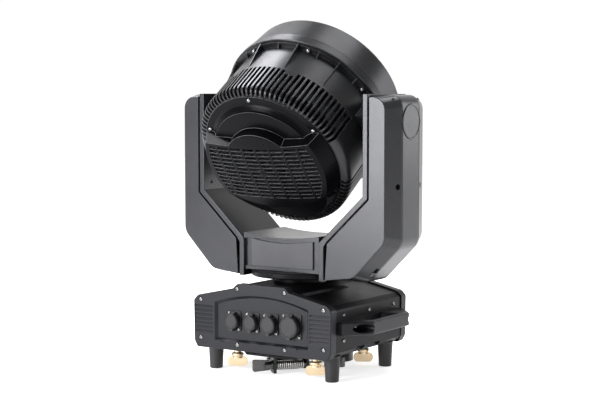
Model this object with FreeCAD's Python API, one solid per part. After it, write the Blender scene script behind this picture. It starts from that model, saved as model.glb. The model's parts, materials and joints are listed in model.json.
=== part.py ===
"""Moving head wash light: a base, a panning yoke and a tilting head.

Millimetres. X to the right, Y away from the connector panel, Z up. The origin is on the floor
under the pan axis. Head parts are drawn in a head frame, x right, y up and z to the rear,
with its origin where the tilt axis crosses the optical axis, and are tilted into place at the end.
"""
import FreeCAD, Part
import math
import os

V = FreeCAD.Vector
X, Y, Z = V(1, 0, 0), V(0, 1, 0), V(0, 0, 1)

# ---- driving dimensions: base ----
FOOT_X, FOOT_Y, FOOT_TOP = 116.0, 85.2, 43.0
FOOT_R_LOW, FOOT_R_HIGH = 11.0, 13.0
SIDE_X = 134.5                    # side wall, outside
PANEL_X = 136.5                   # end panels stand proud of the side wall
PANEL_Y0, PANEL_Y1 = 105.4, 121.2  # an end panel's inner and outer face
BASE_FLOOR, PANEL_Z0 = 43.0, 39.8  # the end panels hang a little lower than the tray
HUMP_Z, HUMP_X = 151.5, 47.0
SLOPE_IN = (56.0, 143.5)
SLOPE_OUT = (128.0, 128.0)
WALL = 3.0
GAP = 0.3                         # between pieces that move apart
COVER_DROP = 2.5                  # the top cover lies this far under the panels' outline
SKIRT_Z = 101.0                   # the cover's skirt meets the tray here
RECESS_X, RECESS_Z0, RECESS_Z1, RECESS_TOP = 88.5, 59.0, 114.0, 129.4
RECESS_BEVEL = 5.0                # how far the recess mouth widens
LOUVRE_X = (96.0, 133.5)
RECESS_FLOOR = -116.2              # depth of the recess floor that carries the sockets
SOCKET_Z = 89.0
DATA_X = (-55.2, -18.7)
ROUND_POWER_X, SQUARE_POWER_X = 18.0, 59.0
HANDLE_Z, HANDLE_H, HANDLE_OUT = 89.0, 22.0, 178.0
WELL_X, WELL_Y, WELL_SCREW_Y = 145.5, 70.0, 62.0   # a handle end's oval screw recess
QT_X, QT_Y = 78.5, 75.5           # quarter-turn fasteners
BRACKET_HOLE_X, BRACKET_HOLE_R = 35.0, 6.5

# ---- driving dimensions: yoke ----
YOKE_Z0 = 158.0
PIVOT_Z = 418.0
ARM_IN, ARM_OUT = 157.9, 212.0
ARM_FRONT, ARM_FLAT = 62.0, 27.0  # half depths of the arm's front face and of its flat side
ARM_TOP = 464.0
BEAD, GROOVE = 9.0, 3.2
LIP_X = 75.0
NECK_R = 46.5
FLANGE_R = 84.0
BADGE_R = 28.5

# ---- driving dimensions: head ----
TILT = 34.9                       # lens axis above the horizon at rest
HEAD_R = 137.0
FLANGE_HEAD_R = 149.6
RIM_R = 141.7
RIM_Z = -93.0                     # front rim, in the head frame (z to the rear)
STEP_Z = -22.0
CAGE_Z0, CAGE_Z1 = 37.0, 101.0
COVER_R = 123.5                    # rear cover: its rim, its flat flange, its crowned face
COVER_FLANGE_Z = 104.6
FACE_R, FACE_Z, CROWN_Z = 111.5, 129.5, 139.0
BROW_Y, BROW_Z, BROW_LEAN = 48.0, 132.5, 0.23      # above this height the cover steps down in arcs
COVER_SCREW_R = 116.8
GRILLE_R, GRILLE_Y0, GRILLE_ROWS = 103.0, -58.0, 13
GRILLE_PITCH_Y, GRILLE_SLOT, GRILLE_PITCH_X, GRILLE_BAR = 7.85, 5.0, 26.4, 4.6
GRILLE_HUB_R, GRILLE_HUB_Y = 6.5, -4.0
SLOT_PITCH = 3.75                 # degrees between cooling slots
FAN_R = 57.0
CARRIER_Z = -56.0                  # the zoom carrier's plate at rest
LENS_R = 19.0
LENS_PITCH = 47.0

PARTS = {}


# ---- helpers ----
def box(x0, x1, y0, y1, z0, z1):
    return Part.makeBox(x1 - x0, y1 - y0, z1 - z0, V(x0, y0, z0))


def cyl(r, length, at, axis=Z):
    return Part.makeCylinder(r, length, V(*at), axis)


def ring(r_out, r_in, length, at, axis=Z):
    return cyl(r_out, length, at, axis).cut(cyl(r_in, length, at, axis))


def fuse(shapes):
    shapes = list(shapes)
    return shapes[0].multiFuse(shapes[1:]).removeSplitter() if len(shapes) > 1 else shapes[0]


def cut(shape, tools):
    tools = list(tools)
    return shape.cut(tools) if tools else shape


def group(shapes):
    return Part.makeCompound(list(shapes))


def round_wire(points, radius=0.0):
    """A closed wire through points, in their order, rounded at each corner that has a radius."""
    count = len(points)
    arrive, leave, arcs = [], [], []
    for i, p in enumerate(points):
        r = radius[i] if isinstance(radius, (list, tuple)) else radius
        to_a, to_b = (points[i - 1] - p).normalize(), (points[(i + 1) % count] - p).normalize()
        half = to_a.getAngle(to_b) / 2
        if r <= 0 or half > math.radians(89):
            arrive.append(p)
            leave.append(p)
            arcs.append([])
            continue
        back = r / math.tan(half)
        middle = p + (to_a + to_b).normalize() * (r / math.sin(half) - r)
        arrive.append(p + to_a * back)
        leave.append(p + to_b * back)
        arcs.append([Part.Arc(arrive[-1], middle, leave[-1]).toShape()])
    edges = []
    for i in range(count):
        edges += arcs[i]
        reach = arrive[(i + 1) % count]
        if leave[i].distanceToPoint(reach) > 1e-4:
            edges.append(Part.LineSegment(leave[i], reach).toShape())
    return Part.Wire(edges)


def prism(points, lift, radius=0.0):
    return Part.Face(round_wire(points, radius)).extrude(lift)


def xz(points, y0, y1, radius=0.0):
    """A solid from an outline in X and Z, from y0 to y1."""
    return prism([V(x, y0, z) for x, z in points], V(0, y1 - y0, 0), radius)


def xy(points, z0, z1, radius=0.0):
    return prism([V(x, y, z0) for x, y in points], V(0, 0, z1 - z0), radius)


def yz(points, x0, x1, radius=0.0):
    return prism([V(x0, y, z) for y, z in points], V(x1 - x0, 0, 0), radius)


def turned(points):
    """A solid of revolution about Z from (radius, z) points."""
    wire = Part.makePolygon([V(r, 0, z) for r, z in points] + [V(points[0][0], 0, points[0][1])])
    return Part.Face(wire).revolve(V(0, 0, 0), Z, 360)


def moved(shape, by):
    shape = shape.copy()
    shape.translate(V(*by))
    return shape


def spun(shape, degrees, about=(0, 0, 0), axis=Z):
    shape = shape.copy()
    shape.rotate(V(*about), axis, degrees)
    return shape


def mirrored(shape, normal=X):
    return shape.mirror(V(0, 0, 0), normal)


def both(shape, normal=X):
    return [shape, mirrored(shape, normal)]


def corners(x, y):
    return [(sx * x, sy * y) for sx in (-1, 1) for sy in (-1, 1)]


def soften(shape, radius, pick):
    """The shape with a fillet on each edge that pick(edge) chooses."""
    edges = [e for e in shape.Edges if pick(e)]
    return shape.makeFillet(radius, edges) if edges else shape


def screw(at, axis, r=3.4, head=2.4, shank=7.0):
    """A button head screw with a hexagon socket; axis points out of the head."""
    dome = turned([(0, 0), (r, 0), (r * 0.9, head * 0.6), (r * 0.62, head), (0, head)])
    key = r * 0.5
    corner = [math.radians(60 * i) for i in range(6)]
    socket = prism([V(key * math.cos(a), key * math.sin(a), head * 0.2) for a in corner], V(0, 0, head))
    shape = dome.cut(socket).fuse(cyl(r * 0.45, shank, (0, 0, -shank)))
    shape.Placement = FreeCAD.Placement(V(*at), FreeCAD.Rotation(Z, V(*axis)))
    return shape


def keep(name, shape):
    PARTS[name] = shape


# ---- base ----
def end_outline(drop=0.0, inset=0.0):
    """Half outline of an end panel, top middle to bottom middle, then mirrored."""
    right = [(HUMP_X - inset * 0.4, HUMP_Z - drop), (SLOPE_IN[0] - inset * 0.4, SLOPE_IN[1] - drop),
             (SLOPE_OUT[0] - inset, SLOPE_OUT[1] - drop), (PANEL_X - inset, 119.5 - drop * 0.5),
             (PANEL_X - 1.0 - inset, 51.0 + inset), (PANEL_X - 7.0 - inset, PANEL_Z0 + inset)]
    return right + [(-x, z) for x, z in reversed(right)]


PANEL_ROUND = [4, 5, 7, 6, 5, 5, 5, 5, 6, 7, 5, 4]


def arched_wire(y, grow=0.0):
    """The recess outline at depth y: straight ends and an arched top, grown all round."""
    half, z0, z1, top = RECESS_X + grow, RECESS_Z0 - grow, RECESS_Z1 + grow, RECESS_TOP + grow
    arc = Part.Arc(V(half, y, z1), V(0, y, top), V(-half, y, z1)).toShape()
    rest = Part.makePolygon([V(-half, y, z1), V(-half, y, z0), V(half, y, z0), V(half, y, z1)])
    return Part.Wire([arc] + rest.Edges)


def arched(y0, y1, grow=0.0):
    return Part.Face(arched_wire(y0, grow)).extrude(V(0, y1 - y0, 0))


def panel_screw_places():
    right = ((121.8, 120.8), (47.0, 143.0), (121.8, 56.8), (47.0, 49.9))
    return [(sx * x, z) for sx in (-1, 1) for x, z in right]


def end_panel():
    """The moulding at the connector end, drawn at -Y."""
    shape = xz(end_outline(), -PANEL_Y1, -PANEL_Y0, PANEL_ROUND)
    shape = soften(shape, 1.6, lambda e: abs(e.BoundBox.YMin + PANEL_Y1) < 0.01
                   and abs(e.BoundBox.YMax + PANEL_Y1) < 0.01)
    hollow = xz(end_outline(WALL, WALL), -PANEL_Y1 + WALL, -PANEL_Y0 + 1)
    floor = arched(-PANEL_Y1 + WALL, RECESS_FLOOR + 2.5, RECESS_BEVEL + 2.0)
    bosses = [cyl(4.5, 12.0, (x, -PANEL_Y1 + WALL, z), Y) for x, z in panel_screw_places()]
    shape = shape.cut(hollow).fuse([floor] + bosses)
    mouth, foot = arched_wire(-PANEL_Y1 - 0.4, RECESS_BEVEL), arched_wire(RECESS_FLOOR, 0.4)
    bevel = Part.makeLoft([mouth, foot], True, True)
    shape = shape.cut(bevel)
    cuts = both(box(70.0, 84.0, -PANEL_Y1 - 1, -PANEL_Y1 + 3, 52.6, 54.4))
    for i in range(7):
        low, high = 64.4 + i * 7.0, 69.6 + i * 7.0
        slope = [(-PANEL_Y1, low), (-PANEL_Y1 - 1, low), (-PANEL_Y1 - 1, high), (-PANEL_Y1 + 2.2, high)]
        cuts += both(yz(slope, *LOUVRE_X))
    for x, z in panel_screw_places():
        cuts.append(cyl(4.3, 3.0, (x, -PANEL_Y1 - 1.4, z), Y))
        cuts.append(cyl(1.8, 20.0, (x, -PANEL_Y1 - 1, z), Y))
    return shape.cut(cuts).removeSplitter()


def make_connector_end():
    holes = [cyl(12.0, 20.0, (x, -PANEL_Y1 - 1, SOCKET_Z), Y) for x in DATA_X]
    holes.append(cyl(13.5, 20.0, (ROUND_POWER_X, -PANEL_Y1 - 1, SOCKET_Z), Y))
    holes.append(cyl(16.5, 20.0, (SQUARE_POWER_X, -PANEL_Y1 - 1, SOCKET_Z), Y))
    keep("connector_panel", end_panel().cut(holes))


def make_display_end():
    panel = mirrored(end_panel(), Y)
    y1 = -RECESS_FLOOR
    window = box(-62, 8, y1 - 20, y1 + 10, 70, 112)
    dial = cyl(3.6, 40, (52, y1 - 20, 100), Y)
    key = cyl(6.6, 40, (52, y1 - 20, 74), Y)
    keep("display_panel", panel.cut([window, dial, key]))
    keep("display_window", box(-61.7, 7.7, y1 - 1.8, y1 - 0.3, 70.3, 111.7))
    knob = turned([(0, 0), (11, 0), (11, 9.0), (9.6, 11.0), (8.0, 11.0), (7.0, 9.8), (0, 9.4)])
    knob = cut(knob, [spun(cyl(1.1, 8.0, (11.4, 0, 2.6)), i * 20) for i in range(18)])
    knob = knob.fuse(cyl(3.0, 12.0, (0, 0, -12.0)))
    knob.Placement = FreeCAD.Placement(V(52, y1 + GAP, 100), FreeCAD.Rotation(Z, Y))
    keep("menu_dial", knob)
    button = turned([(0, -8), (6.2, -8), (6.2, 3.4), (5.2, 4.4), (3.0, 4.0), (0, 3.9)])
    button.Placement = FreeCAD.Placement(V(52, y1, 74), FreeCAD.Rotation(Z, Y))
    keep("escape_button", button)


def make_base_shell():
    tray = xz([(-SIDE_X, SKIRT_Z - GAP), (-SIDE_X, 50), (-SIDE_X + 7, BASE_FLOOR), (SIDE_X - 7, BASE_FLOOR),
               (SIDE_X, 50), (SIDE_X, SKIRT_Z - GAP)], -PANEL_Y0, PANEL_Y0)
    inner = xz([(-SIDE_X + WALL, SKIRT_Z + 1), (-SIDE_X + WALL, 51.5), (-SIDE_X + 9, BASE_FLOOR + WALL),
                (SIDE_X - 9, BASE_FLOOR + WALL), (SIDE_X - WALL, 51.5), (SIDE_X - WALL, SKIRT_Z + 1)],
               -PANEL_Y0 - 1, PANEL_Y0 + 1)
    notches = [box(sx * 134 - 6, sx * 134 + 6, y0, y1, BASE_FLOOR - 1, 52)
               for sx in (-1, 1) for y0, y1 in ((-39.5, -14.0), (16.0, 35.5))]
    holes = [cyl(5.0, 12, (x, y, BASE_FLOOR - 4)) for x, y in corners(QT_X, QT_Y)]
    holes.append(cyl(2.6, 12, (0, 0, BASE_FLOOR - 4)))
    lugs = [cyl(6.0, 5.0, (x, y, BASE_FLOOR + WALL - 0.5)) for x, y in corners(FOOT_X, FOOT_Y)]
    keep("base_tray", tray.cut(inner).cut(notches + holes).fuse(lugs).removeSplitter())

    roof = xz(end_outline(COVER_DROP, 2.0), -PANEL_Y0, PANEL_Y0, PANEL_ROUND)
    under = xz(end_outline(COVER_DROP + WALL, 2.0 + WALL), -PANEL_Y0 - 1, PANEL_Y0 + 1, 2.0)
    roof = roof.cut([under, box(-200, 200, -200, 200, 0, SKIRT_Z)])
    slope = math.degrees(math.atan2(SLOPE_IN[1] - SLOPE_OUT[1], SLOPE_OUT[0] - SLOPE_IN[0]))
    slots, ribs = [], []
    for side in (-1, 1):
        slot = moved(spun(box(-4.5, 4.5, -1.5, 1.5, -6, 6), side * slope, axis=Y), (side * 67.5, 0, 138.5))
        rib = moved(spun(box(-5.0, 5.0, -0.8, 0.8, -1, 0.9), side * slope, axis=Y), (side * 67.5, 3.0, 138.5))
        slots += [moved(slot, (0, -94.0 + i * 6.0, 0)) for i in range(23)]
        ribs += [moved(rib, (0, -94.0 + i * 6.0, 0)) for i in range(22)]
    roof = roof.fuse(ribs).cut(slots + [cyl(NECK_R + 1.2, 20, (0, 0, HUMP_Z - 12))])
    keep("top_cover", roof)


def make_feet():
    foot = turned([(0, 0), (FOOT_R_LOW - 1.2, 0), (FOOT_R_LOW, 1.2), (FOOT_R_HIGH, FOOT_TOP - 4),
                   (FOOT_R_HIGH + 0.8, FOOT_TOP), (0, FOOT_TOP)])
    foot = foot.cut(cyl(4.0, 14, (0, 0, -1)))
    keep("rubber_feet", group(moved(foot, (x, y, 0)) for x, y in corners(FOOT_X, FOOT_Y)))


def socket_body(x, flange_w, flange_h, barrel_r, bore_r, pins):
    """A panel socket: a flange on the recess floor and a barrel behind it, open to the front."""
    y0 = RECESS_FLOOR
    w, h = flange_w / 2, flange_h / 2
    flange = xz([(x - w, SOCKET_Z - h), (x + w, SOCKET_Z - h), (x + w, SOCKET_Z + h), (x - w, SOCKET_Z + h)],
                y0 - 2.0, y0, 3.0)
    barrel = cyl(barrel_r, 26.0, (x, y0 - 1, SOCKET_Z), Y)
    neck = cyl(bore_r + 1.6, 3.0, (x, y0 - 4.5, SOCKET_Z), Y)
    bore = cyl(bore_r, 24.0, (x, y0 - 5, SOCKET_Z), Y)
    contacts = [cyl(1.2, 12.0, (x + bore_r * 0.5 * math.cos(math.radians(a)), y0 + 8,
                                SOCKET_Z + bore_r * 0.5 * math.sin(math.radians(a))), Y) for a in pins]
    return fuse([fuse([flange, barrel, neck]).cut(bore)] + contacts)


def socket_cap(x, r, depth):
    """A flip cap: a rubber disc with a pull tab below and a hinge lug above."""
    y0 = RECESS_FLOOR - 4.5 - GAP
    disc = turned([(0, 0), (r - 0.5, 0), (r, 0.8), (r, depth - 1.6), (r - 1.4, depth - 0.3), (r - 2.6, depth),
                   (r - 3.4, depth - 0.7), (0, depth - 0.7)])
    disc.Placement = FreeCAD.Placement(V(x, y0, SOCKET_Z), FreeCAD.Rotation(Z, V(0, -1, 0)))
    tab = box(x - 3.4, x + 3.4, y0 - depth + 1.5, y0 - 0.5, SOCKET_Z - r - 3.6, SOCKET_Z - r + 2)
    tab = soften(tab, 1.2, lambda e: e.Length < 7.5 and e.BoundBox.ZMax < SOCKET_Z - r - 3.5)
    lug = box(x - 4.0, x + 4.0, y0 - 2.6, y0, SOCKET_Z + r - 3, SOCKET_Z + r + 1.0)
    barrel = cyl(1.3, 8.0, (x - 4.0, y0, SOCKET_Z + r + 1.0), X)
    return fuse([disc, tab, lug, barrel])


def make_sockets():
    y0 = RECESS_FLOOR
    keep("data_sockets", group(socket_body(x, 27, 33, 11.8, 9.8, (30, 150, 270)) for x in DATA_X))
    inlet = socket_body(ROUND_POWER_X, 30, 35, 13.3, 11.4, (90, 210, 330))
    outlet = socket_body(SQUARE_POWER_X, 38, 41, 16.3, 14.0, (90, 210, 330))
    keep("power_sockets", group([inlet, outlet]))
    names = ("data_input_cap", "data_output_cap", "power_input_cap", "power_output_cap")
    sizes = ((DATA_X[0], 12.6, 8.0), (DATA_X[1], 12.6, 8.0), (ROUND_POWER_X, 14.2, 9.0),
             (SQUARE_POWER_X, 17.4, 9.0))
    for name, (x, r, depth) in zip(names, sizes):
        keep(name, socket_cap(x, r, depth))
    places = [(x + sx * 9.5, SOCKET_Z + sz * 13.4) for x in DATA_X for sx, sz in ((-1, 1), (1, -1))]
    places += [(ROUND_POWER_X + sx * 11.5, SOCKET_Z + sz * 14.2) for sx, sz in ((-1, 1), (1, -1))]
    places += [(SQUARE_POWER_X + sx * 15.2, SOCKET_Z + sz * 16.8) for sx, sz in ((-1, 1), (1, -1))]
    return [screw((x, y0 - 2.0, z), (0, -1, 0), 2.3, 1.6, 3.0) for x, z in places]


def make_base_screws(extra):
    screws = list(extra)
    for x, z in panel_screw_places():
        screws.append(screw((x, -PANEL_Y1 + 1.6, z), (0, -1, 0)))
        screws.append(screw((x, PANEL_Y1 - 1.6, z), (0, 1, 0)))
    for sx in (-1, 1):
        for y in (-79.7, 0.0, 79.7):
            screws.append(screw((sx * (SIDE_X), y, 109.2), (sx, 0, 0), 3.0, 2.0, 6.0))
        screws.append(screw((sx * SIDE_X, -79.7, 67.9), (sx, 0, 0), 3.0, 2.0, 6.0))
        for y in (-WELL_SCREW_Y, WELL_SCREW_Y):
            screws.append(screw((sx * WELL_X, y, HANDLE_Z), (sx, 0, 0), 3.4, 2.4, 5.0))
    keep("base_screws", group(screws))


def make_handles():
    """A carrying handle: two sloping ends with an oval screw recess, and a grip standing off."""
    top, low = HANDLE_Z + HANDLE_H / 2, HANDLE_Z - HANDLE_H / 2
    outer = [(SIDE_X, -98), (SIDE_X + 9, -98), (SIDE_X + 13, -94), (HANDLE_OUT - 5, -66), (HANDLE_OUT, -58),
             (HANDLE_OUT, 58), (HANDLE_OUT - 5, 66), (SIDE_X + 13, 94), (SIDE_X + 9, 98), (SIDE_X, 98)]
    inner = [(SIDE_X - 1, -36), (SIDE_X + 3, -36), (HANDLE_OUT - 17, -48), (HANDLE_OUT - 13, -44),
             (HANDLE_OUT - 13, 44), (HANDLE_OUT - 17, 48), (SIDE_X + 3, 36), (SIDE_X - 1, 36)]
    grip = xy(outer, low, top, [0, 3, 5, 6, 6, 6, 6, 5, 3, 0])
    hole = xy(inner, low - 1, top + 1, [0, 2, 4, 4, 4, 4, 2, 0])
    shape = grip.cut(hole)
    shape = soften(shape, 3.0, lambda e: e.BoundBox.ZLength < 0.01 and e.BoundBox.XMin > SIDE_X + 2
                   and e.BoundBox.XMax > HANDLE_OUT - 14)
    wells = []
    for sy in (-1, 1):
        oval = Part.Ellipse(V(0, 15.5, 0), V(7.6, 0, 0), V(0, 0, 0)).toShape()
        well = Part.Face(Part.Wire(oval)).extrude(V(0, 0, 60))
        well.rotate(V(0, 0, 0), Y, 90)
        wells.append(moved(well, (WELL_X, sy * WELL_Y, HANDLE_Z)))
    keep("side_handles", group(both(shape.cut(wells))))


def make_electronics():
    supply = box(-118, -58, -60, 70, 47, 92)
    vents = [box(-119, -57, y, y + 3, 52, 87) for y in range(-50, 62, 8)]
    skin = box(-116, -60, -58, 68, 49, 90)
    core = box(-112, -64, -52, 62, 49, 84)
    keep("power_supply", supply.cut(skin).cut(vents).fuse(core).removeSplitter())
    board = box(62, 120, -70, 70, 60, 61.6)
    chip = box(0, 10, 0, 12, 61.6, 64)
    chips = [moved(chip, (x, y, 0)) for x in (70, 86, 102) for y in (-50, -16, 18, 52)]
    posts = [cyl(3.0, 14.0, (x, y, 46.0)) for x in (66, 116) for y in (-66, 66)]
    keep("control_board", fuse([board] + chips + posts))


PAN_MOTOR_Y = 78.0
PAN_PULLEY_R, MOTOR_PULLEY_R = 40.0, 10.0
BELT_T = 1.6


def stepper(at, axis, side=56.0, length=50.0):
    body = box(-side / 2, side / 2, -side / 2, side / 2, -length, 0)
    body = body.makeChamfer(5.0, [e for e in body.Edges if abs(e.Length - length) < 0.01])
    boss = cyl(19.0, 1.6, (0, 0, 0))
    shape = fuse([body, boss])
    shape = shape.cut([cyl(3.6, 30.0, (0, 0, -20))])
    shape.Placement = FreeCAD.Placement(V(*at), FreeCAD.Rotation(Z, V(*axis)))
    return shape


def pulley(r, width, bore, flange=2.0):
    body = cyl(r, width, (0, 0, 0))
    rims = [cyl(r + flange, 1.2, (0, 0, -1.2)), cyl(r + flange, 1.2, (0, 0, width))]
    return fuse([body] + rims).cut(cyl(bore, width + 4, (0, 0, -2)))


def belt_loop(r1, r2, distance, z0, z1, clear=0.35):
    """A toothed belt round two pulleys, along +Y from the big one."""
    def hull(grow):
        a, b = r1 + grow, r2 + grow
        lean = math.asin((r1 - r2) / distance)
        c, s = math.cos(lean), math.sin(lean)
        p1, p2 = V(a * c, a * s, z0), V(b * c, distance + b * s, z0)
        q1, q2 = V(-a * c, a * s, z0), V(-b * c, distance + b * s, z0)
        edges = [Part.LineSegment(p1, p2).toShape(), Part.Arc(p2, V(0, distance + b, z0), q2).toShape(),
                 Part.LineSegment(q2, q1).toShape(), Part.Arc(q1, V(0, -a, z0), p1).toShape()]
        return Part.Face(Part.Wire(edges)).extrude(V(0, 0, z1 - z0))
    return hull(clear + BELT_T).cut(hull(clear))


def make_pan_drive():
    keep("pan_motor", stepper((0, PAN_MOTOR_Y, 108), (0, 0, 1)))
    drive = pulley(MOTOR_PULLEY_R, 9.0, 2.0, 1.6).fuse(cyl(3.0, 26.0, (0, 0, -16)))
    keep("pan_motor_pulley", moved(drive, (0, PAN_MOTOR_Y, 112)))
    keep("pan_belt", belt_loop(PAN_PULLEY_R, MOTOR_PULLEY_R, PAN_MOTOR_Y, 113.0, 120.0))
    big = pulley(PAN_PULLEY_R, 9.0, 25.0)
    keep("pan_pulley", moved(big, (0, 0, 112)))
    race = ring(44.0, 25.05, 14.0, (0, 0, 126)).fuse(ring(58.0, 40.0, 4.0, (0, 0, 126)))
    legs = [spun(box(50, 58, -5, 5, 46, 128), a) for a in (0, 135, 225)]
    keep("pan_bearing", race.fuse(legs).removeSplitter())


def make_brackets_and_locks():
    strips = []
    for y in (-QT_Y, QT_Y):
        outline = [(-96, 42.7), (-96, 39.7), (-60, 39.7), (-50, 29.0), (50, 29.0), (60, 39.7), (96, 39.7),
                   (96, 42.7), (58.7, 42.7), (48.7, 32.0), (-48.7, 32.0), (-58.7, 42.7)]
        strip = xz(outline, y - 15, y + 15, 1.0)
        holes = [cyl(6.6, 12, (sx * QT_X, y, 36)) for sx in (-1, 1)]
        holes += [cyl(BRACKET_HOLE_R, 12, (sx * BRACKET_HOLE_X, y, 26)) for sx in (-1, 1)]
        strips.append(strip.cut(holes))
    keep("omega_brackets", group(strips))
    plate = xz([(-17, 5), (17, 5), (17, 21), (-17, 21)], -1.5, 1.5, 7.4)
    collar = turned([(0, 19), (8.5, 19), (8.5, 22), (10.5, 24), (10.5, 27), (6.0, 29), (6.0, 38), (0, 38)])
    stud = cyl(4.6, 14.0, (0, 0, 36))
    lock = fuse([plate, collar, stud])
    names = ("front_left_lock", "rear_left_lock", "front_right_lock", "rear_right_lock")
    for name, (x, y) in zip(names, corners(QT_X, QT_Y)):
        keep(name, moved(spun(lock, 28), (x, y, 0)))


CLAMP_ROD_Z = 15.0
CLAMP_RING = (36.0, 43.0)         # the tube's centre, along and beside the clamp screw
TUBE_R = 25.5


def clamp_hook(flip):
    """A hook for a 50 mm tube, lying on its side: the tube's axis is upright."""
    cx, cy = CLAMP_RING
    hook = ring(TUBE_R + 9, TUBE_R, 20.0, (cx, cy, 5.0)).cut(box(cx - 10, cx + 50, cy, cy + 60, 0, 60))
    arm = box(2.0, cx + 6, 8.0, 14.5, 5.0, 12.0)
    ear = box(-2.0, 3.0, -9.0, 15.0, 2.0, 28.7)
    end = box(55.0, 59.0, -7.0, 12.0, 6.0, 24.0)
    rib = box(50.0, 59.0, 5.0, 24.0, 6.0, 24.0)
    link = box(-2.0, 14.0, 9.0, cy, 6.0, 20.0)
    shape = fuse([hook, arm, ear, end, rib, link])
    shape = shape.cut([cyl(5.05, 80, (-10, 0, CLAMP_ROD_Z), X), cyl(TUBE_R, 40, (cx, cy, 0))])
    return shape if flip > 0 else mirrored(shape, Y)


def clamp_screw():
    rod = cyl(5.0, 64.0, (-3.0, 0, CLAMP_ROD_Z), X)
    grooves = [ring(7.0, 4.4, 0.9, (5.0 + i * 1.9, 0, CLAMP_ROD_Z), X) for i in range(24)]
    washer = ring(8.0, 4.9, 1.6, (-4.2, 0, CLAMP_ROD_Z), X)
    hub = cyl(6.8, 12.0, (-16.0, 0, CLAMP_ROD_Z), X)
    wing = xz([(-36, 5.0), (-6, 7.0), (-6, 23.0), (-36, 25.0)], -3.0, 3.0, 3.4)
    return fuse([rod.cut(grooves), washer, hub, wing])


def clamp_spring():
    coils = [Part.makeTorus(7.0, 0.75, V(6.0 + i * 3.6, 0, CLAMP_ROD_Z), X) for i in range(13)]
    bar = box(5.0, 49.8, -0.6, 0.6, CLAMP_ROD_Z + 6.5, CLAMP_ROD_Z + 7.5)
    return fuse(coils + [bar])


CLAMPS = (("front", 48.0, (-1.0, -81.0, 0), 1), ("rear", 165.0, (46.0, 17.0, 0), -1))


def make_clamps():
    springs, hooks = [], []
    for name, yaw, at, flip in CLAMPS:
        def put(shape):
            return moved(spun(shape, yaw), at)
        hooks.append(put(clamp_hook(flip)))
        keep(name + "_clamp_screw", put(clamp_screw()))
        springs.append(put(clamp_spring()))
    keep("clamp_hooks", group(hooks))
    keep("clamp_springs", group(springs))


# ---- yoke ----
def inner_edge(offset=0.0):
    """The yoke's inner edge on the right side, from the arm's top to the lip's foot."""
    arm, lip, drop = ARM_IN + offset, LIP_X + offset, offset * 0.4
    return [(arm, ARM_TOP), (arm, 300 - drop), (lip + 4, 225 - drop), (lip, 219 - drop), (lip, YOKE_Z0)]


def band(a, b):
    """The outline between two offsets of the inner edge."""
    return inner_edge(a) + list(reversed(inner_edge(b)))


def arm_frame():
    outer = xz(band(0, BEAD), -ARM_FRONT, ARM_FRONT)
    outer = soften(outer, 1.0, lambda e: e.BoundBox.YLength < 0.01 and e.Length > 20)
    hollow = xz(band(WALL, BEAD + 5), -ARM_FRONT + 10, ARM_FRONT - 10)
    hub = cyl(34.0, 11.0, (ARM_IN, 0, PIVOT_Z), X)
    bore = cyl(25.0, 40.0, (ARM_IN - 5, 0, PIVOT_Z), X)
    return outer.cut(hollow).fuse(hub).cut(bore)


def cover_outline(grow):
    """The arm cover's outline; grow is 0 on the front face and 1 on the side's flat."""
    g = grow
    edge = inner_edge(BEAD + GROOVE)
    top = ARM_TOP - 5 + 4 * g
    return [(edge[0][0], top), (200 + 12 * g, top), (200 + 12 * g, 227 - 6 * g), (141 + 8 * g, 166 - 9 * g),
            (edge[4][0], YOKE_Z0 + 2 - 2 * g), edge[2], edge[1]]


COVER_ROUND = (0, 20, 26, 22, 0, 0, 0)
# how far the cover's outline has grown at each depth: rounded edges, then the sloping strip
COVER_STEPS = [(-0.16, 62.0), (-0.05, 61.4), (0.0, 60.2), (0.93, 30.0), (0.985, 27.0), (1.0, 23.0)]
STRIP_NORMAL = (0.938, 0.347)     # outward across the sloping strip, in X and along Y


def cover_solid(inset=0.0):
    """The arm cover's outer form, or its inside, which opens towards the frame."""
    rounds = [max(r - inset, 0) for r in COVER_ROUND]
    wires = []
    for side in (-1, 1):
        for grow, y in COVER_STEPS[::-side]:
            points = [(x - inset, z - inset if z > 300 else z + inset) for x, z in cover_outline(grow)]
            if inset:
                for i in (0, 4, 5, 6):
                    points[i] = (points[i][0] - 20, points[i][1])
            reach = min(y, ARM_FRONT - inset - 0.4 * (ARM_FRONT - y)) if y > 40 else y
            wires.append(round_wire([V(x, side * reach, z) for x, z in points], rounds))
    return Part.makeLoft(wires, True, True)


SCREW_CUP = (208.6, 36.5, 316.0)  # a deep screw hole's mouth on the sloping strip
CORNER_SCREW = (201.3, 40.0, 455.4)
LOCK_SLOT = (164.3, -32.2, 175.0)  # on the arm's slanted underside
LOCK_LIFT = 3.05                  # the catch rests this far down the slant in its slot


def cup_axis(side):
    return V(STRIP_NORMAL[0], side * STRIP_NORMAL[1], 0)


def cup_point(side, depth):
    """A point under a deep screw hole's mouth."""
    return V(SCREW_CUP[0], side * SCREW_CUP[1], SCREW_CUP[2]) - cup_axis(side) * depth


def arm_cover():
    shell = cover_solid().cut(cover_solid(WALL))
    cups = [Part.makeCylinder(7.0, 11.0, cup_point(s, 11.6), cup_axis(s)) for s in (-1, 1)]
    wells = [Part.makeCylinder(5.0, 14.0, cup_point(s, 9.0), cup_axis(s)) for s in (-1, 1)]
    badge_well = cyl(BADGE_R + 0.4, 5.0, (ARM_OUT - 1.2, 0, PIVOT_Z + 2), X)
    seam = box(ARM_OUT - 0.8, ARM_OUT + 1, ARM_FLAT - 0.5, ARM_FLAT + 0.5, 224, 440)
    seams = both(seam, Y)
    return shell.fuse(cups).cut([badge_well] + seams + wells)


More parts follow.
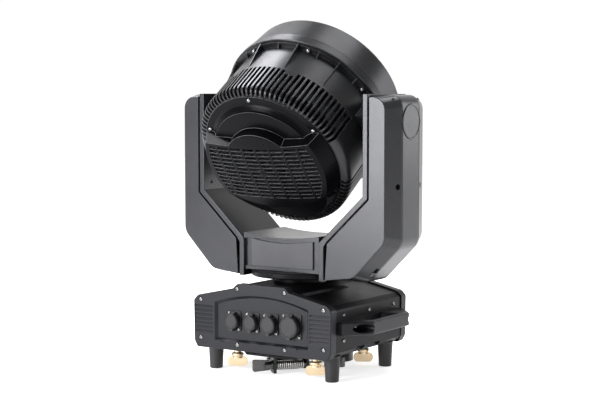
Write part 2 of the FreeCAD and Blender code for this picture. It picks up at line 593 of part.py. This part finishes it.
def make_arms():
    frame, cover = arm_frame(), arm_cover()
    keep("left_arm_frame", mirrored(frame))
    keep("right_arm_frame", frame)
    keep("left_arm_cover", mirrored(cover))
    slot = spun(box(-9.4, 9.4, -4.4, 4.4, -6, 6), -45, axis=Y)
    keep("right_arm_cover", cover.cut(moved(slot, LOCK_SLOT)))
    catch = spun(box(-4.2, 4.2, -4.0, 4.0, -1.4, 5.0), -45, axis=Y)
    x, y, z = LOCK_SLOT
    keep("tilt_lock_slider", moved(catch, (x - LOCK_LIFT, y, z - LOCK_LIFT)))
    badge = turned([(0, 0), (BADGE_R, 0), (BADGE_R, 2.0), (BADGE_R - 0.8, 2.8), (BADGE_R - 2.0, 2.8),
                    (BADGE_R - 2.8, 1.9), (0, 1.9)])
    badge.Placement = FreeCAD.Placement(V(ARM_OUT - 1.2, 0, PIVOT_Z + 2), FreeCAD.Rotation(Z, X))
    keep("arm_badges", group(both(badge)))
    screws = []
    for s in (-1, 1):
        screws.append(screw(cup_point(s, 9.0), cup_axis(s), 3.4, 2.4, 2.0))
        screws.append(screw((ARM_IN, s * 40, 312), (-1, 0, 0), 2.6, 1.6, 2.5))
        x, y, z = CORNER_SCREW
        screws.append(screw((x, s * y, z), (0.67, s * 0.3, 0.67), 3.0, 1.8, 3.0))
    keep("yoke_screws", group(s for piece in screws for s in both(piece)))


SADDLE_SAG = 6.0
CROSS_TOP = 231.0


def saddle(z_top, half, y0, y1):
    """The cutter that leaves a concave top, sagging between x = -half and half."""
    r = (half * half + SADDLE_SAG * SADDLE_SAG) / (2 * SADDLE_SAG)
    return cyl(r, y1 - y0, (0, y0, z_top - SADDLE_SAG + r), Y)


def make_cross_piece():
    half = LIP_X - 0.2
    wall = box(-half, half, -55, 55, 169, CROSS_TOP - 6)
    roof = box(-half, half, -61.5, 61.5, CROSS_TOP - 9, CROSS_TOP)
    sill = box(-half, half, -58, 58, 169, 174.5)
    shape = fuse([wall, roof, sill]).cut(saddle(CROSS_TOP, half, -80, 80))
    shape = shape.cut(box(-half + WALL, half - WALL, -52, 52, 160, CROSS_TOP - 18))
    keep("cross_cover", shape)
    plate = box(-61, 61, -58.2, -55, 175.5, CROSS_TOP - 9.3).cut(saddle(CROSS_TOP - 9.3, 61, -80, 80))
    keep("cross_panels", group(both(plate, Y)))
    disc = cyl(FLANGE_R, 10.0, (0, 0, YOKE_Z0 + 0.4))
    disc = soften(disc, 2.5, lambda e: e.BoundBox.ZLength < 0.01)
    neck = cyl(NECK_R, 22.0, (0, 0, YOKE_Z0 - 14))
    shaft = cyl(24.95, 62.0, (0, 0, YOKE_Z0 - 58))
    disc = fuse([disc, neck, shaft]).cut([cyl(18.0, 90, (0, 0, YOKE_Z0 - 60)),
                                         ring(44.5, 24.0, 4.0, (0, 0, YOKE_Z0 - 15))])
    trims = both(box(LIP_X - 0.4, 120, -100, 100, YOKE_Z0 - 0.2, YOKE_Z0 + 12))
    keep("pan_flange", disc.cut([group(trims)]))


TILT_DROP = 150.0                 # tilt motor below the tilt axis
TILT_PULLEY_X = 190.0


def make_tilt_drive():
    keep("tilt_motor", stepper((TILT_PULLEY_X - 6, 0, PIVOT_Z - TILT_DROP), (1, 0, 0), 42.0, 14.0))
    drive = pulley(9.0, 7.0, 2.0, 1.6).fuse(cyl(3.0, 22.0, (0, 0, -14)))
    drive.Placement = FreeCAD.Placement(V(TILT_PULLEY_X, 0, PIVOT_Z - TILT_DROP), FreeCAD.Rotation(Z, X))
    keep("tilt_motor_pulley", drive)
    loop = belt_loop(30.0, 9.0, TILT_DROP, 0.6, 6.4)
    loop.rotate(V(0, 0, 0), X, -90)
    loop.rotate(V(0, 0, 0), Z, 90)
    keep("tilt_belt", moved(loop, (TILT_PULLEY_X + 7.0, 0, PIVOT_Z)))
    keep("tilt_bearings", group(both(ring(24.9, 15.05, 10.0, (ARM_IN + 0.6, 0, PIVOT_Z), X))))
    hub = cyl(18.5, 5.0, (ARM_IN - 14.0, 0, PIVOT_Z), X).fuse(cyl(15.0, 27.0, (ARM_IN - 9.5, 0, PIVOT_Z), X))
    hub = hub.cut(cyl(9.0, 80.0, (ARM_IN - 30, 0, PIVOT_Z), X))
    right = hub.fuse(ring(12.0, 9.0, 24.0, (ARM_IN + 17.0, 0, PIVOT_Z), X))
    keep("tilt_shafts", group([right, mirrored(hub)]))
    wheel = pulley(30.0, 7.0, 12.05)
    wheel.Placement = FreeCAD.Placement(V(TILT_PULLEY_X, 0, PIVOT_Z), FreeCAD.Rotation(Z, X))
    keep("tilt_pulley", wheel)


# ---- head, in the head frame ----
def head_place(shape):
    shape = shape.copy()
    shape.rotate(V(0, 0, 0), X, 90 + TILT)
    shape.translate(V(0, 0, PIVOT_Z))
    return shape


def polar(r, degrees, z=0.0):
    a = math.radians(degrees)
    return (r * math.cos(a), r * math.sin(a), z)


def make_shroud():
    z0, z1 = RIM_Z, STEP_Z
    band_r = FLANGE_HEAD_R
    outer = [(HEAD_R + 0.4, z1), (band_r - 1.2, z1), (band_r, z1 - 1.2), (band_r - 0.3, z1 - 12),
             (band_r - 1.5, z1 - 13), (band_r - 1.6, z1 - 19), (band_r - 2.4, z1 - 20),
             (RIM_R + 0.8, z0 + 4.0), (RIM_R - 0.2, z0 + 1.0), (RIM_R - 2.0, z0), (RIM_R - 4.4, z0),
             (RIM_R - 5.4, z0 + 1.0), (RIM_R - 5.4, z0 + 8.0), (RIM_R - 2.6, z0 + 9.0),
             (band_r - 5.6, z1 - 22), (band_r - 5.0, z1 - 3.5), (HEAD_R + 0.4, z1 - 3.5)]
    keep("front_shroud", head_place(turned(outer)))


def gusset(degrees, top_z, reach, thick):
    """A triangular rib on the housing, tall at the flange."""
    foot = STEP_Z + 0.1
    outline = [(HEAD_R - 1, foot), (reach, foot), (reach, foot + 1.4), (HEAD_R + 0.3, top_z),
               (HEAD_R - 1, top_z)]
    return spun(yz(outline, -thick / 2, thick / 2), degrees - 90)


def make_housing():
    shell = ring(HEAD_R, HEAD_R - WALL, CAGE_Z0 - STEP_Z, (0, 0, STEP_Z))
    flange = ring(HEAD_R + 8.5, HEAD_R - 12, 3.0, (0, 0, STEP_Z))
    ribs = [gusset(15 + 30 * i, CAGE_Z0 - 3, 147.5, 2.2) for i in range(12) if i not in (5, 6, 11, 0)]
    ribs += [gusset(15 + 30 * i, STEP_Z + 9, 146.5, 2.2) for i in (0, 5, 6, 11)]
    ribs += [gusset(30 * i, STEP_Z + 11, 146.0, 2.2) for i in range(1, 12) if i != 6]
    bosses = [cyl(4.2, 6.0, polar(HEAD_R + 3.4, 22.5 + 45 * i, STEP_Z)) for i in range(8)]
    pads = both(box(130, ARM_IN - 14.2, -34, 34, -21.9, 30))
    shape = fuse([shell, flange] + ribs + bosses + pads)
    shape = shape.cut([cyl(HEAD_R - WALL, 200, (0, 0, STEP_Z + 3)), cyl(9.0, 400, (-200, 0, 0), X)])
    keep("front_housing", head_place(shape))
    places = [polar(HEAD_R + 3.6, 22.5 + 45 * i, STEP_Z + 6.0) for i in range(8)]
    return [screw(at, (0, 0, 1), 3.0, 2.2, 5.0) for at in places]


def cage_slots():
    """The gaps between the fins: the top and bottom sectors, a few of them shorter."""
    slots = []
    for i in range(96):
        a = (i + 0.5) * SLOT_PITCH
        if 16.0 < a < 164.0 or 200.0 < a < 340.0:
            short = 65.0 < a < 72.0 or 108.0 < a < 115.0
            slots.append(spun(box(118, 145, -2.9, 2.9, CAGE_Z0 + (12 if short else 3.2), CAGE_Z1 + 4), a))
    return slots


def make_cage():
    """A ring of cooling fins, tied together at the front and by the rear cover's seat."""
    seat = COVER_R + 0.5
    tip = [(138.4, 88), (138.2, 93), (137.2, 97), (135.0, 100.4), (131.5, 102.6), (127.0, 103.4),
           (seat, 103.4)]
    tip_in = [(seat, CAGE_Z1), (COVER_R - 6, CAGE_Z1), (COVER_R - 6, CAGE_Z1 - 4), (129.0, 98), (133.2, 93),
              (134.2, 86)]
    shape = turned([(134.2, CAGE_Z0), (138.4, CAGE_Z0)] + tip + tip_in)
    lip = ring(138.0, 131.5, 3.0, (0, 0, CAGE_Z0 + 0.1))
    spared = cyl(COVER_R + 1.0, 12, (0, 0, CAGE_Z1 - 5))
    keep("fin_cage", head_place(fuse([shape, lip]).cut([slot.cut(spared) for slot in cage_slots()])))


def crowned_body(i):
    """The rear cover without its steps: a sloping side and a face that bulges slightly."""
    foot = CAGE_Z1 - 1 if i else CAGE_Z1 + 0.1
    face_r, face_z, crown_z = FACE_R - i, FACE_Z - i, CROWN_Z - i
    side = Part.makePolygon([V(0, 0, foot), V(COVER_R - i, 0, foot), V(COVER_R - i, 0, COVER_FLANGE_Z - i),
                             V(face_r, 0, face_z)])
    sag = crown_z - face_z
    ball = (face_r ** 2 + sag ** 2) / (2 * sag)
    middle = V(face_r / 2, 0, crown_z - ball + math.sqrt(ball ** 2 - face_r ** 2 / 4))
    arc = Part.Arc(V(face_r, 0, face_z), middle, V(0, 0, crown_z)).toShape()
    axis = Part.LineSegment(V(0, 0, crown_z), V(0, 0, foot)).toShape()
    body = Part.Face(Part.Wire(side.Edges + [arc, axis])).revolve(V(0, 0, 0), Z, 360)
    return body.common(cyl(COVER_R - 6, 80, (0, 0, foot))) if i else body


def dome(inset=0.0):
    """The rear cover's outer form, or its inside when inset."""
    i, flange = inset, COVER_FLANGE_Z - inset
    chin = Part.makeCone(214.2 - 1.87 * i, 143.1 - 1.87 * i, 45.0, V(0, 82, 100), Z)
    stepped = turned([(69.5 - i, 150), (70.2 - i, 132 - i), (72.2 - i, 118 - i), (101 - i, 116 - i),
                      (103 - i, 112 - i), (106 - i, 108.5 - i), (109 - i, 106 - i), (112.5 - i, flange),
                      (COVER_R + 8, flange), (COVER_R + 8, 150)])
    brow = [(BROW_Y - i + BROW_LEAN * (BROW_Z - z), z) for z in (95, 155)]
    above = yz(brow + [(200, 155), (200, 95)], -200, 200)
    return crowned_body(i).common(chin).cut(stepped.common(above))


def grille_slots():
    """The openings of the rear grille: rows of slots between upright bars."""
    slots = []
    for row in range(GRILLE_ROWS):
        y0 = GRILLE_Y0 + GRILLE_PITCH_Y * row + (GRILLE_PITCH_Y - GRILLE_SLOT) / 2
        for column in range(-4, 4):
            x0 = GRILLE_PITCH_X * column + GRILLE_BAR / 2
            slots.append(box(x0, x0 + GRILLE_PITCH_X - GRILLE_BAR, y0, y0 + GRILLE_SLOT, 118, 145))
    hub = cyl(GRILLE_HUB_R, 60, (0, GRILLE_HUB_Y, 100))
    return group(slots).common(cyl(GRILLE_R, 60, (0, 0, 100)).cut(hub))


def make_rear_cover():
    low, high = (210, 270, 330), (30, 90, 150)
    pocket = cyl(5.0, 60, (COVER_SCREW_R, 0, COVER_FLANGE_Z)).fuse(
        box(COVER_SCREW_R, COVER_SCREW_R + 10, -5, 5, COVER_FLANGE_Z, 160))
    boss = cyl(5.0 + WALL, 60, (COVER_SCREW_R, 0, 95))
    inside = dome(WALL).cut([spun(boss, a) for a in low])
    shell = dome().cut(inside).cut([spun(pocket, a) for a in low])
    keep("rear_cover", head_place(shell.cut(grille_slots())))
    places = [polar(COVER_SCREW_R, a, COVER_FLANGE_Z) for a in low + high]
    return [screw(at, (0, 0, 1), 3.4, 2.4, 6.0) for at in places]


def make_heat_sink():
    base = cyl(124.0, 6.0, (0, 0, 4.0))
    plates = []
    for i in range(-14, 15):
        x = i * 8.6
        reach = math.sqrt(130.0 ** 2 - x * x)
        plates.append(box(x - 0.7, x + 0.7, -reach, reach, 8.0, 74.0))
    keep("heat_sink", head_place(fuse([base] + plates)))


def make_fan():
    z0, z1 = 77.0, 99.0
    frame = box(-60, 60, -60, 60, z0, z1)
    frame = frame.cut(cyl(FAN_R + 1.0, 60, (0, 0, z0 - 10)))
    struts = [spun(box(18, FAN_R + 2, -2, 2, z0, z0 + 2.5), a) for a in (45, 135, 225, 315)]
    hub = cyl(20.0, 2.5, (0, 0, z0)).fuse(cyl(3.0, 10.0, (0, 0, z0)))
    plate = ring(114.0, FAN_R + 1.0, 2.0, (0, 0, z1 - 2.0))
    keep("cooling_fan", head_place(fuse([frame, hub, plate] + struts)))
    cap = cyl(21.0, 17.0, (0, 0, z0 + 3.5)).cut(cyl(3.05, 12.0, (0, 0, z0)))
    blades = []
    for i in range(7):
        blade = box(18, FAN_R, -1.0, 1.0, -9.0, 9.0)
        blade.rotate(V(0, 0, 0), X, 52)
        blades.append(spun(moved(blade, (0, 0, z0 + 12)), i * 360 / 7))
    rotor = fuse([cap] + blades).common(cyl(FAN_R, 18.5, (0, 0, z0 + 3.2)))
    keep("fan_rotor", head_place(rotor))


def lens_places():
    """Nineteen places: a centre and two hexagonal rings."""
    places = []
    for q in range(-2, 3):
        for r in range(-2, 3):
            if abs(q + r) <= 2:
                places.append((LENS_PITCH * (q + r / 2), LENS_PITCH * r * math.sqrt(3) / 2))
    return places


def make_optics():
    board = cyl(122.0, 2.0, (0, 0, 1.8))
    chips = [box(x - 4, x + 4, y - 4, y + 4, 0.2, 2.0) for x, y in lens_places()]
    keep("led_board", head_place(fuse([board] + chips)))
    z0 = CARRIER_Z
    plate = cyl(133.0, 3.0, (0, 0, z0)).cut([cyl(LENS_R - 0.6, 8, (x, y, z0 - 2)) for x, y in lens_places()])
    rings = [ring(LENS_R + 2.6, LENS_R + 0.2, 6.0, (x, y, z0 - 6.0)) for x, y in lens_places()]
    skirt = ring(133.0, 130.5, 22.0, (0, 0, z0))
    keep("zoom_carrier", head_place(fuse([plate, skirt] + rings)))
    lens = turned([(0, -14.0), (6.0, -13.3), (11.0, -11.4), (15.4, -8.6), (LENS_R, -5.0), (LENS_R, 0.0),
                   (LENS_R - 1, 0), (8.0, 26.0), (0, 26.0)])
    keep("zoom_lenses", head_place(group(moved(lens, (x, y, z0)) for x, y in lens_places())))
    glass = cyl(RIM_R - 5.7, 3.0, (0, 0, RIM_Z + 4.0))
    keep("front_glass", head_place(glass))


def main():
    socket_screws = make_sockets()
    make_connector_end()
    make_display_end()
    make_base_shell()
    make_feet()
    make_base_screws(socket_screws)
    make_handles()
    make_electronics()
    make_pan_drive()
    make_brackets_and_locks()
    make_clamps()
    make_arms()
    make_cross_piece()
    make_tilt_drive()
    make_shroud()
    head_screws = make_housing()
    make_cage()
    head_screws += make_rear_cover()
    keep("head_screws", head_place(group(head_screws)))
    make_heat_sink()
    make_fan()
    make_optics()
    os.makedirs("parts", exist_ok=True)
    for name, shape in PARTS.items():
        shape.exportStep("parts/" + name + ".step")
        b = shape.BoundBox
        size = [round(v, 1) for v in (b.XMin, b.XMax, b.YMin, b.YMax, b.ZMin, b.ZMax)]
        print(name, len(shape.Solids), shape.isValid(), round(shape.Volume), size)
    print(len(PARTS), "nodes")


main()
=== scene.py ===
"""Looks of the moving head light: materials on the CAD nodes, light, floor and camera."""
import json
import math

import bpy
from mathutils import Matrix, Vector

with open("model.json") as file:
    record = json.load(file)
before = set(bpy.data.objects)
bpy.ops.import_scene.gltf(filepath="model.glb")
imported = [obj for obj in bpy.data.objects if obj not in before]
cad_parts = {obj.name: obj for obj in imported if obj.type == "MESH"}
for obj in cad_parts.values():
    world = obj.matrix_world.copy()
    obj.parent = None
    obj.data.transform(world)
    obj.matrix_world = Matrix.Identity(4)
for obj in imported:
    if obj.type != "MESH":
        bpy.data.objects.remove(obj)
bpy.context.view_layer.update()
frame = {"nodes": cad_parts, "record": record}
scene = bpy.context.scene
NODES = frame["nodes"]

# ---- finishes ----
# Edges count as sharp where the rounded normal's cosine to the face falls from FLAT to SHARP.
FLAT, SHARP = 0.995, 0.9
# The side of a piece, in its own axes, whose edges get a painted highlight (a paler colour standing in for
# light caught on rounded edges), and how strongly.
HIGHLIGHT_SIDE = (-0.3, -0.3, 0.9)
HIGHLIGHT_STRENGTH = 1.6
# The scales of the noises count bumps per metre.
TINT_SCALE, GLOSS_SCALE = 14.0, 38.0
METAL_TINT_SCALE, SCRATCH_SCALE, METAL_GRAIN = 60.0, 240.0, 900.0
HAZE_SCALE = 30.0
PLASTIC_BUMP, METAL_BUMP = 0.0002, 0.0001
PLASTIC_EDGE, METAL_EDGE = 0.0006, 0.0004
METAL_BUMP_STRENGTH, METAL_GLOSS_SPREAD = 0.15, 0.08

# Each slot's colour and roughness, and where they differ from the usual: grain (bumps per metre), depth of
# the grain, edge (radius of the softened edges in metres), spread of the gloss, specular level and the
# colour of the painted highlight on edges (a paler colour standing in for light caught on them).
PLASTICS = {
    "base_moulding": dict(colour=(0.01, 0.0103, 0.0125), rough=0.38, grain=1100, depth=0.35,
                          specular=0.26, edge_highlight=(0.07, 0.07, 0.075)),
    "base_sheet": dict(colour=(0.005, 0.005, 0.006), rough=0.4, grain=1500, depth=0.4,
                       specular=0.12, edge_highlight=(0.1, 0.1, 0.105)),
    "rubber": dict(colour=(0.013, 0.013, 0.014), rough=0.5, grain=700, depth=0.3, specular=0.45),
    "socket_black": dict(colour=(0.005, 0.005, 0.006), rough=0.28, specular=0.4, edge_highlight=(0.06, 0.06, 0.065)),
    "clamp_black": dict(colour=(0.008, 0.008, 0.009), rough=0.4, specular=0.35),
    "display_glass": dict(colour=(0.004, 0.006, 0.009), rough=0.06, grain=400, depth=0.0),
    "circuit_board": dict(colour=(0.02, 0.09, 0.035), rough=0.4),
    "motor_black": dict(colour=(0.01, 0.01, 0.01), rough=0.4),
    "belt_rubber": dict(colour=(0.015, 0.015, 0.015), rough=0.6),
    "yoke_plastic": dict(colour=(0.017, 0.0175, 0.02), rough=0.25, grain=1300, spread=0.03,
                         edge_highlight=(0.12, 0.12, 0.125)),
    "cross_panel": dict(colour=(0.055, 0.055, 0.058), rough=0.45, grain=1300, depth=0.4, specular=0.4),
    "badge": dict(colour=(0.02, 0.02, 0.022), rough=0.25),
    "head_plastic": dict(colour=(0.009, 0.0092, 0.0105), rough=0.3, grain=1300, depth=0.3,
                         specular=0.4, edge_highlight=(0.16, 0.16, 0.165)),
    "rear_cover_gloss": dict(colour=(0.002, 0.002, 0.0026), rough=0.25, grain=1500, depth=0.2,
                             edge=0.0007, specular=0.07, edge_highlight=(0.5, 0.5, 0.51)),
    "fan_plastic": dict(colour=(0.004, 0.004, 0.004), rough=0.5, specular=0.12),
    "lens_plate": dict(colour=(0.01, 0.01, 0.01), rough=0.45),
}
METALS = {
    "zinc_screw": dict(colour=(0.5, 0.5, 0.49), rough=0.25),
    "black_screw": dict(colour=(0.05, 0.05, 0.052), rough=0.3),
    "brass_wing": dict(colour=(0.88, 0.7, 0.46), rough=0.38),
    "clamp_screw": dict(colour=(0.12, 0.12, 0.12), rough=0.35),
    "spring_steel": dict(colour=(0.72, 0.7, 0.68), rough=0.3),
    "bare_metal": dict(colour=(0.6, 0.61, 0.62), rough=0.35),
    "bearing_steel": dict(colour=(0.6, 0.6, 0.6), rough=0.2),
    "heat_sink_metal": dict(colour=(0.3, 0.305, 0.33), rough=0.4),
}
CLEARS = {
    "lens": dict(colour=(0.93, 0.95, 0.97), rough=0.05, ior=1.49),
    "front_glass": dict(colour=(0.95, 0.97, 0.97), rough=0.02, ior=1.1),
}


# ---- materials ----
class Nodes:
    """A material's node tree, with a short way to add and link nodes."""

    def __init__(self, name):
        self.material = bpy.data.materials.new(name)
        self.material.use_nodes = True
        self.tree = self.material.node_tree
        self.tree.nodes.clear()
        self.shader = self.add("ShaderNodeBsdfPrincipled")
        out = self.add("ShaderNodeOutputMaterial")
        self.link(self.shader.outputs[0], out.inputs[0])

    def add(self, kind, **values):
        """A node with its settings; a value that isn't a setting goes to the input socket of that name."""
        node = self.tree.nodes.new(kind)
        for key, value in values.items():
            if hasattr(node, key):
                setattr(node, key, value)
            else:
                node.inputs[key.replace("_", " ")].default_value = value
        return node

    def link(self, a, b):
        self.tree.links.new(a, b)

    def noise(self, scale, detail=3.0):
        node = self.add("ShaderNodeTexNoise", Scale=scale, Detail=detail, Roughness=0.55)
        self.link(self.add("ShaderNodeTexCoord").outputs["Object"], node.inputs["Vector"])
        return node.outputs["Fac"]

    def ramp(self, source, stops):
        """A colour that goes from one stop to the other, each a place from 0 to 1 and its colour."""
        node = self.add("ShaderNodeValToRGB")
        for element, (at, colour) in zip(node.color_ramp.elements, stops):
            element.position = at
            element.color = (*colour, 1)
        self.link(source, node.inputs["Fac"])
        return node.outputs["Color"]

    def span(self, source, low, high):
        node = self.add("ShaderNodeMapRange", To_Min=low, To_Max=high)
        self.link(source, node.inputs["Value"])
        return node.outputs["Result"]

    def bump(self, height, strength, distance, edge):
        """Bumps on the surface, over edges that are rounded to the radius edge."""
        node = self.add("ShaderNodeBump", Strength=strength, Distance=distance)
        self.link(height, node.inputs["Height"])
        bevel = self.add("ShaderNodeBevel", samples=4, Radius=edge)
        self.link(bevel.outputs[0], node.inputs["Normal"])
        self.link(node.outputs[0], self.shader.inputs["Normal"])

    def cosine(self, a):
        """A dot product node with its first vector linked."""
        node = self.add("ShaderNodeVectorMath", operation="DOT_PRODUCT")
        self.link(a, node.inputs[0])
        return node

    def highlight_edge_mask(self, radius, facing):
        """One along sharp edges, zero on flat faces. Facing is a direction in the piece's own axes: the
        edges on that side get a painted highlight, and they keep it when the piece turns."""
        bevel = self.add("ShaderNodeBevel", samples=6, Radius=radius)
        turn = self.cosine(bevel.outputs[0])
        self.link(self.add("ShaderNodeNewGeometry").outputs["Normal"], turn.inputs[1])
        mask = self.add("ShaderNodeMapRange", From_Min=FLAT, From_Max=SHARP)
        self.link(turn.outputs["Value"], mask.inputs["Value"])
        own = self.add("ShaderNodeVectorTransform", vector_type="NORMAL", convert_from="WORLD",
                       convert_to="OBJECT")
        self.link(bevel.outputs[0], own.inputs[0])
        lean = self.cosine(own.outputs[0])
        lean.inputs[1].default_value = facing
        both = self.add("ShaderNodeMath", operation="MULTIPLY", use_clamp=True)
        self.link(mask.outputs["Result"], both.inputs[0])
        self.link(self.span(lean.outputs["Value"], 0.0, HIGHLIGHT_STRENGTH), both.inputs[1])
        return both.outputs["Value"]

    def mix(self, mask, below, above):
        """The colour above laid over the colour below where the mask is one."""
        node = self.add("ShaderNodeMix", data_type="RGBA")
        factor, first, second = node.inputs[0], node.inputs[6], node.inputs[7]
        self.link(mask, factor)
        self.link(below, first)
        second.default_value = (*above, 1)
        return node.outputs[2]

    def set(self, **values):
        for key, value in values.items():
            self.shader.inputs[key.replace("_", " ")].default_value = value


def plastic(name, colour, rough, grain=1400.0, depth=0.25, edge=PLASTIC_EDGE, spread=0.06, specular=0.5,
            edge_highlight=None):
    """Moulded plastic: a fine spark-eroded grain, slow changes of gloss and colour, and a painted
    highlight:
    edges on one side laid over with a paler colour where a highlight colour is given."""
    n = Nodes(name)
    dark = tuple(c * 0.88 for c in colour)
    light = tuple(c * 1.14 for c in colour)
    surface = n.ramp(n.noise(TINT_SCALE, 4.0), [(0.35, dark), (0.65, light)])
    # Painted highlight: a paler colour on the edges of one side, standing in for light caught on rounded
    # edges.
    if edge_highlight:
        surface = n.mix(n.highlight_edge_mask(edge, HIGHLIGHT_SIDE), surface, edge_highlight)
    n.link(surface, n.shader.inputs["Base Color"])
    gloss = n.span(n.noise(GLOSS_SCALE, 5.0), rough - spread, rough + spread)
    n.link(gloss, n.shader.inputs["Roughness"])
    n.bump(n.noise(grain, 2.0), depth, PLASTIC_BUMP, edge)
    n.set(Specular_IOR_Level=specular)
    return n.material


def metal(name, colour, rough):
    """Bare or plated metal with fine scratches in its gloss."""
    n = Nodes(name)
    dark = tuple(c * 0.8 for c in colour)
    surface = n.ramp(n.noise(METAL_TINT_SCALE, 4.0), [(0.3, dark), (0.7, colour)])
    n.link(surface, n.shader.inputs["Base Color"])
    gloss = n.span(n.noise(SCRATCH_SCALE, 4.0), rough - METAL_GLOSS_SPREAD, rough + METAL_GLOSS_SPREAD)
    n.link(gloss, n.shader.inputs["Roughness"])
    n.bump(n.noise(METAL_GRAIN, 2.0), METAL_BUMP_STRENGTH, METAL_BUMP, METAL_EDGE)
    n.set(Metallic=1.0)
    return n.material


def clear(name, colour, rough, ior):
    """Clear glass or acrylic with a trace of surface haze."""
    n = Nodes(name)
    n.link(n.span(n.noise(HAZE_SCALE), rough * 0.6, rough * 1.6), n.shader.inputs["Roughness"])
    n.set(Base_Color=(*colour, 1), Transmission_Weight=1.0, IOR=ior)
    return n.material


def make_materials():
    """One material per slot, by the slot's name."""
    made = {}
    for make, finishes in ((plastic, PLASTICS), (metal, METALS), (clear, CLEARS)):
        for slot, finish in finishes.items():
            made[slot] = make(slot, **finish)
    return made


def dress_nodes(materials):
    """Puts each CAD node's material, by its slot in the record, on all its mesh slots."""
    for entry in frame["record"]["subparts"]:
        node = NODES[entry["node"]]
        material = materials[entry["material_slot"]]
        if not node.material_slots:
            node.data.materials.append(material)
        for slot in node.material_slots:
            slot.material = material


# ---- stage ----
AIM = Vector((0.0, 0.0, 0.28469))
VIEW_AZIMUTH, VIEW_PITCH = math.radians(33.31), math.radians(4.24)
VIEW_DISTANCE, VIEW_SIDE = 2.58696, -0.00171
LENS_MM, SENSOR_MM = 91.75, 36.0
FLOOR_SIZE, FLOOR_GLOW = 12.0, 0.7
FLOOR_DARK, FLOOR_LIGHT = (0.8, 0.8, 0.8), (0.84, 0.84, 0.84)
FLOOR_TINT_SCALE = 3.0
ROOM_GREY, BACKDROP_WHITE = 0.4, 1.02
# The room fades to the backdrop between these cosines to the direction from the camera to the object.
FADE_START, FADE_END = 0.35, 0.9
COOL_WHITE = (0.95, 0.955, 1.0)
# Each light's place, the height it aims at, its size and its power.
LIGHTS = {
    "key": ((-0.9, -2.48, 0.8), 0.6, (1.0, 1.5), 73),
    "top_left": ((-1.3, 0.1, 2.2), 0.4, (1.1, 1.1), 60),
    "top": ((0.5, 0.8, 2.4), 0.4, (1.4, 1.0), 18),
    "side": ((1.7, 2.3, 0.9), 0.35, (1.0, 1.4), 14),
}


def make_camera():
    forward = Vector((-math.sin(VIEW_AZIMUTH) * math.cos(VIEW_PITCH),
                      math.cos(VIEW_AZIMUTH) * math.cos(VIEW_PITCH), -math.sin(VIEW_PITCH)))
    right = Vector((math.cos(VIEW_AZIMUTH), math.sin(VIEW_AZIMUTH), 0.0))
    data = bpy.data.cameras.new("camera")
    data.lens = LENS_MM
    data.sensor_width = SENSOR_MM
    camera = bpy.data.objects.new("camera", data)
    scene.collection.objects.link(camera)
    camera.location = AIM + right * VIEW_SIDE - forward * VIEW_DISTANCE
    camera.rotation_euler = forward.to_track_quat("-Z", "Y").to_euler()
    scene.camera = camera


def area_light(name, at, aim_height, size, power):
    data = bpy.data.lights.new(name, "AREA")
    data.shape = "RECTANGLE"
    data.size, data.size_y = size
    data.energy = power
    data.color = COOL_WHITE
    light = bpy.data.objects.new(name, data)
    scene.collection.objects.link(light)
    light.location = at
    toward = Vector((0, 0, aim_height)) - Vector(at)
    light.rotation_euler = toward.to_track_quat("-Z", "Y").to_euler()


def make_stage():
    """A pale floor that glows a little, which keeps the shadows soft."""
    mesh = bpy.data.meshes.new("floor")
    half = FLOOR_SIZE / 2
    corners = [(-half, -half, 0), (half, -half, 0), (half, half, 0), (-half, half, 0)]
    mesh.from_pydata(corners, [], [(0, 1, 2, 3)])
    floor = bpy.data.objects.new("floor", mesh)
    scene.collection.objects.link(floor)
    n = Nodes("floor_paint")
    paint = n.ramp(n.noise(FLOOR_TINT_SCALE), [(0.3, FLOOR_DARK), (0.7, FLOOR_LIGHT)])
    n.link(paint, n.shader.inputs["Base Color"])
    n.set(Roughness=0.9, Emission_Color=(1, 1, 1, 1), Emission_Strength=FLOOR_GLOW)
    mesh.materials.append(n.material)


def make_world():
    """White backdrop on the far side, fading to a pale grey room on the camera's side."""
    world = bpy.data.worlds.new("studio")
    world.use_nodes = True
    tree = world.node_tree
    direction = tree.nodes.new("ShaderNodeTexCoord").outputs["Generated"]
    facing = tree.nodes.new("ShaderNodeVectorMath")
    facing.operation = "DOT_PRODUCT"
    facing.inputs[1].default_value = (-math.sin(VIEW_AZIMUTH), math.cos(VIEW_AZIMUTH), 0)
    tree.links.new(direction, facing.inputs[0])
    fade = tree.nodes.new("ShaderNodeMapRange")
    fade.inputs["From Min"].default_value = FADE_START
    fade.inputs["From Max"].default_value = FADE_END
    fade.inputs["To Min"].default_value = ROOM_GREY
    fade.inputs["To Max"].default_value = BACKDROP_WHITE
    tree.links.new(facing.outputs["Value"], fade.inputs["Value"])
    tree.links.new(fade.outputs["Result"], tree.nodes["Background"].inputs["Color"])
    scene.world = world


dress_nodes(make_materials())
make_camera()
make_stage()
make_world()
for light_name, light_values in LIGHTS.items():
    area_light(light_name, *light_values)
scene.view_settings.view_transform = "Standard"
